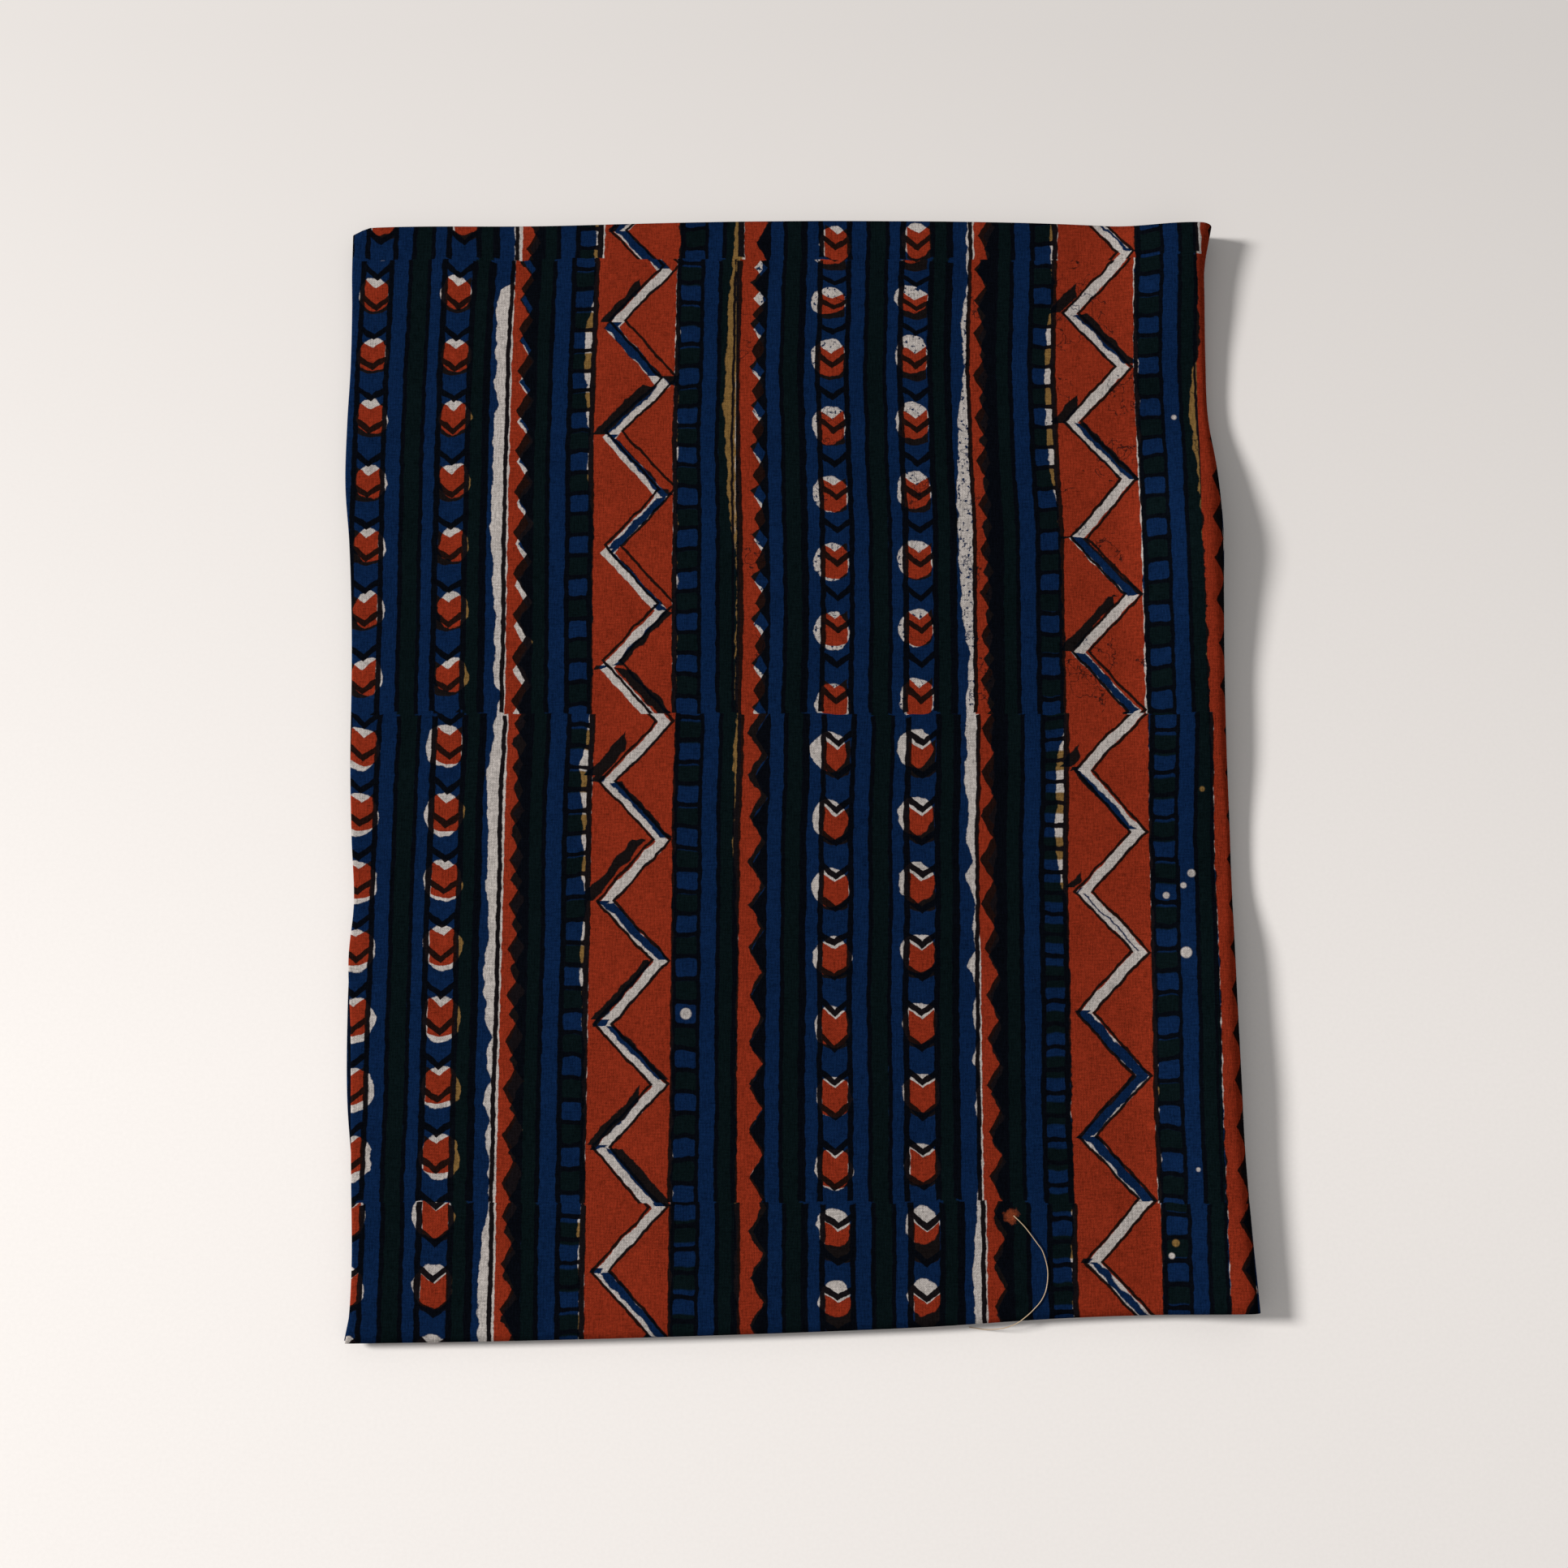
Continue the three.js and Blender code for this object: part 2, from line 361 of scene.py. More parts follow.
def place_along(section, x, tuck, wander):
    """The Y of a point: the section spreads between the two cut edges at that X."""
    near = smooth_value(EDGES, EDGE_COLUMNS, "near", x) + tuck + wander
    far = smooth_value(EDGES, EDGE_COLUMNS, "far", x) - tuck - wander
    return lerp(near, far, section["y"] / FULL_LENGTH + 0.5)


def sheet_rows():
    """The mesh's rows: for each, its points as (x, y, z, normal x, normal z) and its arc lengths."""
    count = round(FULL_LENGTH / ROW_STEP)
    rows = []
    for r in range(count + 1):
        y = lerp(-FULL_LENGTH / 2, FULL_LENGTH / 2, r / count)
        section = {
            name: smooth_value(SECTIONS, SECTION_COLUMNS, name, y) for name in SECTION_COLUMNS[1:]
        }
        section["y"] = y
        line, starts = mid_line(section)
        along = arc_lengths(line, starts[2])
        ends = [*starts[1:], len(line)]
        row = []
        for part, start, end in zip(PARTS, starts, ends):
            for c in range(start, end):
                x, z, nx, nz, tuck = line[c]
                t = (c - start + 0.5) / (end - start)
                hidden = part in ("inner", "under", "ground")
                wander = cut_edge_wave(x, PARTS.index(part)) if hidden else 0.0
                lift = layer_lift(part, t, x, y)
                row.append((x, place_along(section, x, tuck, wander), z + lift, nx, nz))
        rows.append((row, along))
    return rows, starts


def sheet_mesh():
    """The closed thin mesh of the sheet, with its two UV maps."""
    rows, starts = sheet_rows()
    across = len(rows[0][0])
    count = len(rows)
    vertices = []
    for side in (1, -1):
        for row, _ in rows:
            for x, y, z, nx, nz in row:
                reach = side * SHEET / 2
                vertices.append(((x + nx * reach) * MM, y * MM, (z + nz * reach) * MM))

    def vertex(side, r, c):
        return side * count * across + r * across + c

    faces = []  # vertex numbers
    cloth_uv = []  # for each corner, metres along the flat cloth
    bake_uv = []
    looks = []  # 0 on the printed side, 1 on the back

    def add(corners, tile, look):
        """corners are (side, row, column, place in the tile across, place in the tile up)."""
        faces.append([vertex(side, r, c) for side, r, c, _, _ in corners])
        looks.append(look)
        x0, x1, y0, y1 = tile
        for side, r, c, s, t in corners:
            row, along = rows[r]
            cloth_uv.append((along[c] * MM, row[c][1] * MM))
            bake_uv.append((lerp(x0, x1, s), lerp(y0, y1, t)))

    inner, upper_fold, _, _, under, lower_fold, ground = starts
    last_row, last_column = count - 1, across - 1
    # Where each run of columns goes in the bake map, as (x0, x1, y0, y1): the side, its first and
    # last column, and its tile. The outer face, which shows, has most of the map.
    tiles = [
        (0, upper_fold, under, (0.004, 0.800, 0.004, 0.996)),
        (1, lower_fold, last_column, (0.808, 0.996, 0.004, 0.400)),
        (0, under, last_column, (0.808, 0.996, 0.406, 0.550)),
        (0, inner, upper_fold, (0.808, 0.996, 0.556, 0.660)),
        (1, under, lower_fold, (0.808, 0.996, 0.666, 0.760)),
        (1, upper_fold, under, (0.808, 0.996, 0.766, 0.860)),
        (1, inner, upper_fold, (0.808, 0.996, 0.866, 0.930)),
    ]
    middle = rows[count // 2][1]
    for side, first, last, tile in tiles:
        span = middle[last] - middle[first]
        for r in range(last_row):
            for c in range(first, last):
                quad = [(r, c), (r, c + 1), (r + 1, c + 1), (r + 1, c)]
                if side == 1:
                    quad.reverse()
                corners = [(side, a, b, (middle[b] - middle[first]) / span, a / last_row) for a, b in quad]
                add(corners, tile, side)

    # The four edges, each as a walk along it past (row, column), with the sheet to its left.
    edges = [
        [(0, c) for c in range(across)],
        [(last_row, c) for c in reversed(range(across))],
        [(r, 0) for r in reversed(range(count))],
        [(r, last_column) for r in range(count)],
    ]
    for i, walk in enumerate(edges):
        low = 0.940 + 0.014 * i
        steps = len(walk) - 1
        for k, (a, b) in enumerate(zip(walk, walk[1:])):
            s0, s1 = k / steps, (k + 1) / steps
            corners = [(0, *a, s0, 1), (1, *a, s0, 0), (1, *b, s1, 0), (0, *b, s1, 1)]
            add(corners, (0.808, 0.996, low, low + 0.008), 0)

    mesh = bpy.data.meshes.new("folded_cotton")
    mesh.from_pydata(vertices, [], faces)
    for name, values in (("cloth", cloth_uv), ("OFBake", bake_uv)):
        layer = mesh.uv_layers.new(name=name)
        layer.data.foreach_set("uv", [v for uv in values for v in uv])
    mesh.polygons.foreach_set("material_index", looks)
    mesh.polygons.foreach_set("use_smooth", [True] * len(faces))
    mesh.uv_layers["cloth"].active = True
    mesh.uv_layers["cloth"].active_render = True
    mesh.update()
    return mesh


# ---------------------------------------------------------------- numbers made by nodes


class Num:
    """A number that a material works out at each point: a node's output, with Python's operators."""

    def __init__(self, tree, socket):
        self.tree = tree
        self.socket = socket

    def math(self, operation, *others, clamp=False):
        node = self.tree.nodes.new("ShaderNodeMath")
        node.operation = operation
        node.use_clamp = clamp
        for socket, value in zip(node.inputs, (self, *others)):
            if isinstance(value, Num):
                self.tree.links.new(value.socket, socket)
            else:
                socket.default_value = value
        return Num(self.tree, node.outputs[0])

    def __add__(self, other):
        return self.math("ADD", other)

    def __sub__(self, other):
        return self.math("SUBTRACT", other)

    def __rsub__(self, other):
        return self.math("MULTIPLY_ADD", -1.0, other)

    def __mul__(self, other):
        return self.math("MULTIPLY", other)

    def __truediv__(self, other):
        return self.math("DIVIDE", other)

    def __abs__(self):
        return self.math("ABSOLUTE")

    __radd__ = __add__
    __rmul__ = __mul__

    def most(self, other):
        return self.math("MAXIMUM", other)

    def least(self, other):
        return self.math("MINIMUM", other)

    def above(self, limit):
        return self.math("GREATER_THAN", limit)

    def floor(self):
        return self.math("FLOOR")

    def fraction(self):
        return self.math("FRACT")

    def near(self, phase, period):
        """How far this is from the nearest of the places phase, phase + period and so on."""
        half = period / 2 if not isinstance(period, Num) else period * 0.5
        return (self - phase).math("PINGPONG", half)

    def tooth(self, tip, period):
        """0 at the tips of a row of teeth and 1 in the notches between them."""
        return self.near(tip, period) / period * 2.0

    def between(self, low, high):
        """Positive between two numbers, with its size the distance to the nearer of them."""
        return (high - low) / 2 - abs(self - (low + high) / 2)

    def to(self, other, share):
        """This number where share is 0 and the other one where it is 1."""
        return (other - self).math("MULTIPLY_ADD", share, self)

    def ink(self, softness=0.22):
        """1 inside a shape and 0 outside it, from the distance to its edge, which is positive inside."""
        return self.math("MULTIPLY_ADD", 1 / softness, 0.5, clamp=True)


def lookup(place, rows, columns, span, steps=False):
    """Looks up to four columns of a table up at place, from 0 to 1.

    Each row starts with its own place. span is how far the values may be from 0. With steps, a row
    holds until the next one; without, the values change evenly between rows.
    """
    tree = place.tree
    node = tree.nodes.new("ShaderNodeValToRGB")
    ramp = node.color_ramp
    ramp.interpolation = "CONSTANT" if steps else "LINEAR"
    while len(ramp.elements) > 1:
        ramp.elements.remove(ramp.elements[0])
    for i, (at, *values) in enumerate(rows):
        element = ramp.elements[0] if i == 0 else ramp.elements.new(at)
        element.position = at
        coded = [0.5 + v / (2 * span) for v in values] + [0.5] * (4 - len(values))
        element.color = coded
    tree.links.new(place.socket, node.inputs[0])
    split = tree.nodes.new("ShaderNodeSeparateColor")
    tree.links.new(node.outputs[0], split.inputs[0])
    sockets = [*split.outputs, node.outputs[1]][:columns]
    return [Num(tree, socket).math("MULTIPLY_ADD", 2 * span, -span) for socket in sockets]


# ---------------------------------------------------------------- the print's chart

# The blocks repeat every BLOCK_WIDTH across and BLOCK_LENGTH along the folds. In a block, w runs
# across from its left side and t along it from its near end.
BLOCK_WIDTH = 148.8
BLOCK_LENGTH = 150.8
BLOCK_CORNER = (-16.4, 14.1)  # X and Y of one block's near left corner
ROWS_BELOW = 2  # rows of blocks nearer than that corner's

# The black block's upright lines, and the yellow block's stripes, which turn indigo to green.
BLACK_LINES = [
    (-0.6, 1.5), (14.2, 15.5), (20.0, 22.2), (25.8, 27.5), (35.1, 36.8), (41.4, 42.8), (47.6, 48.9),
    (52.3, 54.2), (61.9, 63.7), (67.4, 69.7), (74.6, 76.0), (83.2, 84.6), (88.4, 89.8), (94.7, 96.3),
    (102.0, 103.8), (129.0, 130.6), (137.0, 138.2), (142.8, 144.1), (147.9, 148.8),
]
YELLOW_STRIPES = [(-4.0, 0.8), (14.9, 20.6), (42.2, 48.0), (63.0, 68.2), (84.0, 89.0), (143.5, 149.3)]
CHAINS = (31.3, 58.1)  # the chains' middles
CHAIN_HALF = 4.2
V_HALF = 1.15  # half-thickness of a black V along the cloth
V_SLOPE = 0.75
CELL_HALF = 4.1  # half-width of a red cell
CELL_HEIGHT = 9.0  # at its middle
CELL_NOTCH = 0.72  # slope of the notch at its top
CELL_BOWL = 0.07  # roundness of its bottom
CELL_SHOULDER = 15.4  # height at which the slopes of its cut corners would meet
LADDERS = ((99.25, 3.0), (133.8, 3.2))  # the middle and half-width of each ladder's cells
BAND = (103.4, 129.3)  # the red band of the zigzag
ZIG_LEFT = 108.5  # the zigzag's middle line at its left tips
ZIG_SWING = 17.3  # and how much further right its right tips are
ZIG_PERIOD = 37.7
ZIG_SQUARE = 0.735  # width square to a stroke for each unit across
ZIG_GAP = 1.6  # half-width that the red block leaves open
ZIG_OUTLINE = 1.95  # how far from its middle the black outlines are
ZIG_OUTLINE_HALF = 0.44  # and their half-width

# In the next tables each line is a row of blocks, from the nearest one: its right block and its left
# one. The third line's right block is called the far right one. Places are the t of one tip or middle.
BLOCKS = 8
# How far each block's layers are off to the right: black and yellow, resist, red; and how much
# further right the resist is for each 100 mm along.
OFFSETS = [
    (0.6, 0.2, 0.2, -1.5), (0.4, 0.8, 0.3, -1.5),
    (0.0, -1.0, 0.0, -0.8), (0.0, 0.5, 0.3, -1.5),
    (0.0, -0.9, -0.4, -0.6), (0.0, 0.4, -0.2, -1.5),
    (1.2, -0.5, 0.8, -2.0), (1.6, 0.5, 1.2, -1.5),
]
# Chains: the tip of a black V and the distance to the next one, then the bottom of a red cell and the
# distance to the next one.
CHAIN_TABLE = [
    (5.8, 10.6, 5.8, 21.2), (1.1, 10.6, 12.1, 21.2),
    (4.6, 10.53, 4.4, 21.0), (9.6, 10.62, 8.3, 21.05),
    (4.3, 11.05, 21.3, 22.1), (7.7, 10.6, 5.5, 21.2),
    (4.2, 10.6, 20.9, 21.2), (6.4, 10.6, 6.8, 21.2),
]
OVAL_WIDTH = 0.9  # of the resist ovals behind the cells, as a share of their height
# The ovals: the middle of one, the distance to the next one, their half-height, and how much further
# along the second chain's are.
OVAL_TABLE = [
    (16.1, 21.2, 5.5, 0.8), (20.0, 21.2, 6.8, 0.0),
    (10.2, 21.4, 6.2, 1.3), (12.9, 21.15, 6.8, 0.5),
    (3.5, 22.75, 6.2, 1.2), (12.3, 21.2, 5.6, 0.0),
    (5.4, 21.2, 5.7, 1.0), (14.7, 21.2, 6.0, 0.0),
]
SQUEEZE_START = 125.5  # the t from which the far right block is pushed together
SQUEEZE = 0.32  # and by how much for each mm
# Ladders: a black bar and a green cell of the first, then of the second.
LADDER_TABLE = [
    (2.1, 1.8, 3.4, 2.0), (3.0, 5.9, 6.5, 6.1),
    (5.5, 13.3, 2.0, 5.0), (3.2, 6.6, 5.5, 9.0),
    (4.8, 9.0, 1.3, 12.0), (3.0, 6.6, 5.3, 8.7),
    (5.6, 8.6, 1.8, 5.5), (3.6, 0.0, 3.6, 6.8),
]
BAR_PERIOD = 6.86
BAR_HALF = 0.7
GREEN_PERIOD = 13.6
GREEN_HALF = 3.3
CELL_CORNER = 0.8  # radius of the cells' corners
LADDER_FRAME = 1.2  # width of the black beside the cells
SAW_DEPTH = 4.2  # how deep the saws' teeth are
# Each saw: the w where its red starts, of the tips of its black teeth, which point left, of the tips of
# its red teeth, and where its black ends.
LEFT_SAW = {"start": 1.0, "black_tip": 5.2, "red_tip": 9.9, "black_end": 10.0}
RIGHT_SAW = {"start": 76.0, "black_tip": 78.3, "red_tip": 83.2, "black_end": 84.4}
# The resist's teeth behind the red ones: their tips, and how much further out and how much deeper they
# are in the far right block's left saw, up to a limit.
LEFT_RESIST_TIP = 9.7
LEFT_RESIST_LIMIT = 10.0
FAR_RIGHT_OUT = 2.6
FAR_RIGHT_DEEPER = 2.4
RIGHT_RESIST_TIP = 83.3
FAR_RIGHT_IN = 0.6  # how much less far out they are in its right saw
# The left saw: the tip of a black tooth, of a red tooth and of the resist behind it, and the period.
LEFT_SAW_TABLE = [
    (5.0, 12.0, 12.0, 13.7), (8.0, 15.0, 15.0, 13.7),
    (7.2, 14.9, 14.9, 13.68), (9.8, 16.6, 16.6, 13.5),
    (7.2, 7.6, 9.0, 14.1), (8.0, 14.8, 14.8, 13.6),
    (6.0, 12.8, 12.8, 13.7), (8.0, 14.0, 14.0, 13.7),
]
# The right saw: the tip of a black tooth and of a red one, and the period.
RIGHT_SAW_TABLE = [
    (8.0, 14.8, 14.0), (6.0, 12.8, 14.1),
    (7.5, 14.2, 13.86), (6.0, 12.9, 14.15),
    (10.3, 16.4, 14.4), (4.2, 7.2, 13.66),
    (8.0, 15.0, 14.0), (4.0, 11.0, 14.0),
]
# The right saw at places Y, in the right column and then in the left one: how much further left the
# black teeth reach, how far past them and how deep the resist's are, and how far right the red starts.
RIGHT_SAW_SHAPE = [
    (-180, 0.0, 5.0, 3.6, 0.2), (-137, 0.0, 4.5, 3.6, 0.4), (-62, 0.4, 4.5, 3.4, 0.4),
    (-50, 2.2, 2.0, 1.5, -0.3), (13, 2.2, 2.0, 1.5, -0.3), (15, 1.4, 0.0, 3.0, -0.3),
    (165, 1.4, 0.0, 3.0, -0.3), (167, 0.5, 3.0, 3.6, 0.0),
]
LEFT_COLUMN_SAW_SHAPE = [
    (-180, 0.0, 5.0, 4.2, 0.4), (-137, 0.0, 2.0, 4.2, 0.4), (-60, 0.0, 1.0, 4.2, 0.4),
    (13, 0.0, 0.5, 4.2, 0.4), (15, 0.0, 4.8, 4.2, 0.5), (60, 0.0, 4.8, 4.2, 0.5),
    (66, 0.0, 3.0, 4.2, 0.5), (165, 0.0, 3.0, 4.2, 0.5), (167, 0.0, 2.0, 4.2, 0.4),
]
# The zigzag: a left tip of the open line in the red, and how far the black outlines are right of it
# and past it.
ZIG_TABLE = [
    (20.2, 0.0, 0.3), (17.2, 0.0, 0.3),
    (19.2, 0.0, 0.3), (15.9, 0.0, 0.4),
    (19.6, 0.0, 0.3), (14.2, 1.5, 2.5),
    (21.0, 0.0, 0.3), (9.8, 0.0, 0.5),
]

# How far the black and yellow blocks are bent to the right, at places t along: the near and the far
# main row's right block, then their left block.
BENDS = [
    (0, -0.3, 0.6, 0.0, 0.0), (30, -0.3, 1.1, 0.15, -0.3), (60, -0.2, 1.0, 0.2, -0.4),
    (90, 0.2, 0.1, 0.4, -0.6), (112, 0.4, -0.3, 0.45, -0.3), (127, 1.0, 0.1, 0.6, 0.0),
    (151, 1.6, 0.9, 1.1, 0.6),
]

# The left edge (w) of the resist beside the right saw, where the cloth stays white, at places Y.
RIGHT_COLUMN_EDGE = [
    (-178, 73.4), (-160, 72.6), (-145, 73.2), (-138, 74.2), (-131, 75.4), (-112, 75.4), (-108, 73.8),
    (-101, 75.4), (-94, 73.6), (-88, 75.4), (-80, 73.8), (-72, 75.4), (-65, 72.2), (-60, 75.2),
    (-54, 73.8), (-47, 75.2), (-37, 72.2), (-32, 74.4), (-25, 72.0), (-17, 74.0), (-8, 72.2),
    (10, 72.8), (20, 73.2), (36, 74.0), (46, 72.2), (60, 71.6), (84, 70.9), (104, 71.8), (120, 72.4),
    (127, 74.2), (142, 72.9), (158, 75.2),
]
LEFT_COLUMN_EDGE = [
    (-178, 72.4), (-160, 71.8), (-148, 73.2), (-137, 74.8), (-122, 74.4), (-117, 72.6), (-112, 74.6),
    (-107, 72.2), (-100, 74.6), (-95, 72.6), (-87, 74.6), (-82, 72.2), (-73, 72.0), (-65, 71.8),
    (-50, 72.9), (-38, 71.8), (-18, 72.0), (-7, 70.8), (14, 73.8), (20, 75.0), (24, 72.8), (38, 72.3),
    (46, 72.7), (54, 71.4), (74, 70.8), (112, 70.8), (116, 72.4), (124, 70.9), (148, 70.9), (155, 72.5),
    (157, 76.4), (165, 76.4),
]

# The left edge (w) of the resist at the first ladder, which shows as white or ochre in its cells.
BAND_EDGE = [
    (-178, 102.6, 103.0), (-146, 102.8, 101.8), (-134, 103.6, 103.4), (-92, 103.4, 102.6),
    (-60, 103.6, 101.4), (-44, 102.8, 102.8), (-34, 100.8, 101.6), (-26, 100.2, 101.4),
    (-2, 101.0, 100.6), (6, 103.4, 102.6), (16, 103.8, 103.6), (80, 103.6, 103.0), (92, 101.4, 101.4),
    (100, 100.2, 101.6), (130, 99.8, 99.6), (144, 101.6, 100.4), (152, 103.2, 102.6),
    (178, 102.6, 102.8),
]

# The left edge (w) of the resist at the left saw, for the right column and the one past it.
SAW_EDGE = [
    (-178, 0.9, 0.9), (-140, 0.9, 0.9), (-132, 0.8, 0.6), (-104, 0.5, 0.4), (-88, 1.0, 0.6),
    (-50, 0.9, 0.6), (-36, 0.0, 0.6), (0, -0.3, 0.6), (14, 0.4, 0.6), (66, 0.2, 0.3), (74, -1.6, 0.2),
    (96, -3.2, -1.4), (112, -3.8, -2.8), (126, -3.6, -1.6), (132, -3.2, 1.0), (150, -2.6, 1.2),
    (164, -1.0, 1.0), (178, -0.4, 0.6),
]

# The indigo strokes that the resist leaves in the red band, from the nearest one: where each starts
# (Y), how far it is to the upper side of the open line, its half-width, below 0 where there is none,
# and the w where it stops if that is inside the band.
RIGHT_STROKES = [
    (-180, 0.9, 0.8), (-154, 0.0, -2.0), (-137, 0.7, 1.4), (-118, 0.3, 1.4), (-98, 0.5, 1.4),
    (-79, 0.0, -2.0), (-61, 0.6, 0.1), (-42, 3.0, 1.0, 109), (-23, 0.5, 0.9), (-4, 3.2, 1.3, 110),
    (14, 0.7, 1.1), (33, 2.8, 1.2, 121), (52, 1.6, 1.6), (71, 0.0, -2.0), (90, 2.4, 1.2),
    (109, 3.0, 1.4, 111), (128, 3.2, 1.5), (147, 3.0, 1.4, 112), (166, 1.4, 0.3),
]
LEFT_STROKES = [
    (-180, 1.2, 1.1), (-157, 0.0, -2.0), (-138, 1.9, 1.7), (-120, 3.5, 1.4, 119), (-101, 1.4, 1.2),
    (-82, 3.1, 1.0, 122), (-64, 0.8, 1.1), (-45, 4.7, 1.5, 121), (-26, 2.3, 1.2), (-7, 4.2, 1.9, 115),
    (13, 2.7, 1.9), (29, -0.8, 0.9), (48, 0.2, 0.4), (67, 0.7, 1.1), (86, 0.3, 0.9), (105, 3.4, 1.9),
    (124, 0.1, 1.5), (143, 2.8, 1.3, 118), (161, 0.8, 1.3),
]

STROKE_STOP = 120.0  # the stops are looked up as a distance from here, in cm
NO_STOP = 140  # a w past the band
STROKES = [
    [(y, centre, half, ((stop or [NO_STOP])[0] - STROKE_STOP) / 10) for y, centre, half, *stop in table]
    for table in (RIGHT_STROKES, LEFT_STROKES)
]

# Spots where a drop of resist fell: X, Y and radius in mm, and 1 where the yellow block took.
DROPS = [
    (-31.1, -79.8, 1.7, 0), (124.7, 110.9, 0.8, 0), (123.2, -40.2, 0.9, 0), (117.8, -43.3, 1.0, 0),
    (125.8, -36.4, 1.2, 0), (123.3, -61.1, 1.7, 0), (117.6, -148.6, 1.1, 1), (116.3, -152.4, 0.9, 0),
    (129.8, -10.1, 0.8, 1), (124.9, -126.7, 0.6, 0),
]

# A small rust-coloured frayed spot where the loose thread starts: X, Y and radius in mm.
RUST_SPOT = (68.0, -140.8, 2.0)

# Colours of the dyed cotton, as the light that it sends back (linear).
WHITE = (0.335, 0.305, 0.285)
INDIGO = (0.0026, 0.0110, 0.039)
OCHRE = (0.14, 0.08, 0.025)
GREEN = (0.0021, 0.0050, 0.0057)
MADDER = (0.172, 0.0185, 0.0070)
MADDER_ON_INDIGO = (0.0060, 0.0045, 0.0045)
BLACK_ON_INDIGO = (0.0017, 0.0023, 0.0038)
BLACK_ON_MADDER = (0.0095, 0.0040, 0.0032)
BLACK_ON_WHITE = (0.0055, 0.0042, 0.0050)
RUST = (0.17, 0.035, 0.013)


def smooth_noise(tree, u, v, size, detail=1.0):
    """Three numbers from -0.5 to 0.5 that wander over the cloth, with features of that size in mm."""
    place = tree.nodes.new("ShaderNodeCombineXYZ")
    tree.links.new((u / size).socket, place.inputs[0])
    tree.links.new((v / size).socket, place.inputs[1])
    node = tree.nodes.new("ShaderNodeTexNoise")
    node.noise_dimensions = "2D"
    node.inputs["Scale"].default_value = 1.0
    node.inputs["Detail"].default_value = detail
    node.inputs["Roughness"].default_value = 0.55
    tree.links.new(place.outputs[0], node.inputs["Vector"])
    split = tree.nodes.new("ShaderNodeSeparateColor")
    tree.links.new(node.outputs["Color"], split.inputs[0])
    return [Num(tree, socket) - 0.5 for socket in split.outputs]


Y_LOW, Y_HIGH = -180.0, 180.0

# How far things wander, in mm: the print along the cloth, slowly and from yarn to yarn, the black
# block across it, and the edges of each layer.
SLOW_STRETCH = 1.4
JOG = 1.6
BOW = 0.7
INK_ROUGH = 1.1
YELLOW_ALONG_ROUGH = 0.6
RED_ROUGH = 1.2
RESIST_ACROSS_ROUGH = 3.0
RESIST_ALONG_ROUGH = 2.6
# The cracks in the far right block's resist: mm for each unit of their noise, and their half-width;
# and above which noise there are cracks and crumbs.
VEIN_REACH = 18.0
VEIN_HALF = 0.13
VEIN_PATCHES = 0.06
CRUMB_LEVEL = 0.13
RED_BEND = 0.7  # how much of the black block's bend the red one has
PAST_RIGHT = 1.2  # how much further left the block past the right column is


def along_rows(rows, low, high):
    """A table's rows with their first number, from low to high, made a place from 0 to 1."""
    return [((at - low) / (high - low), *values) for at, *values in rows]


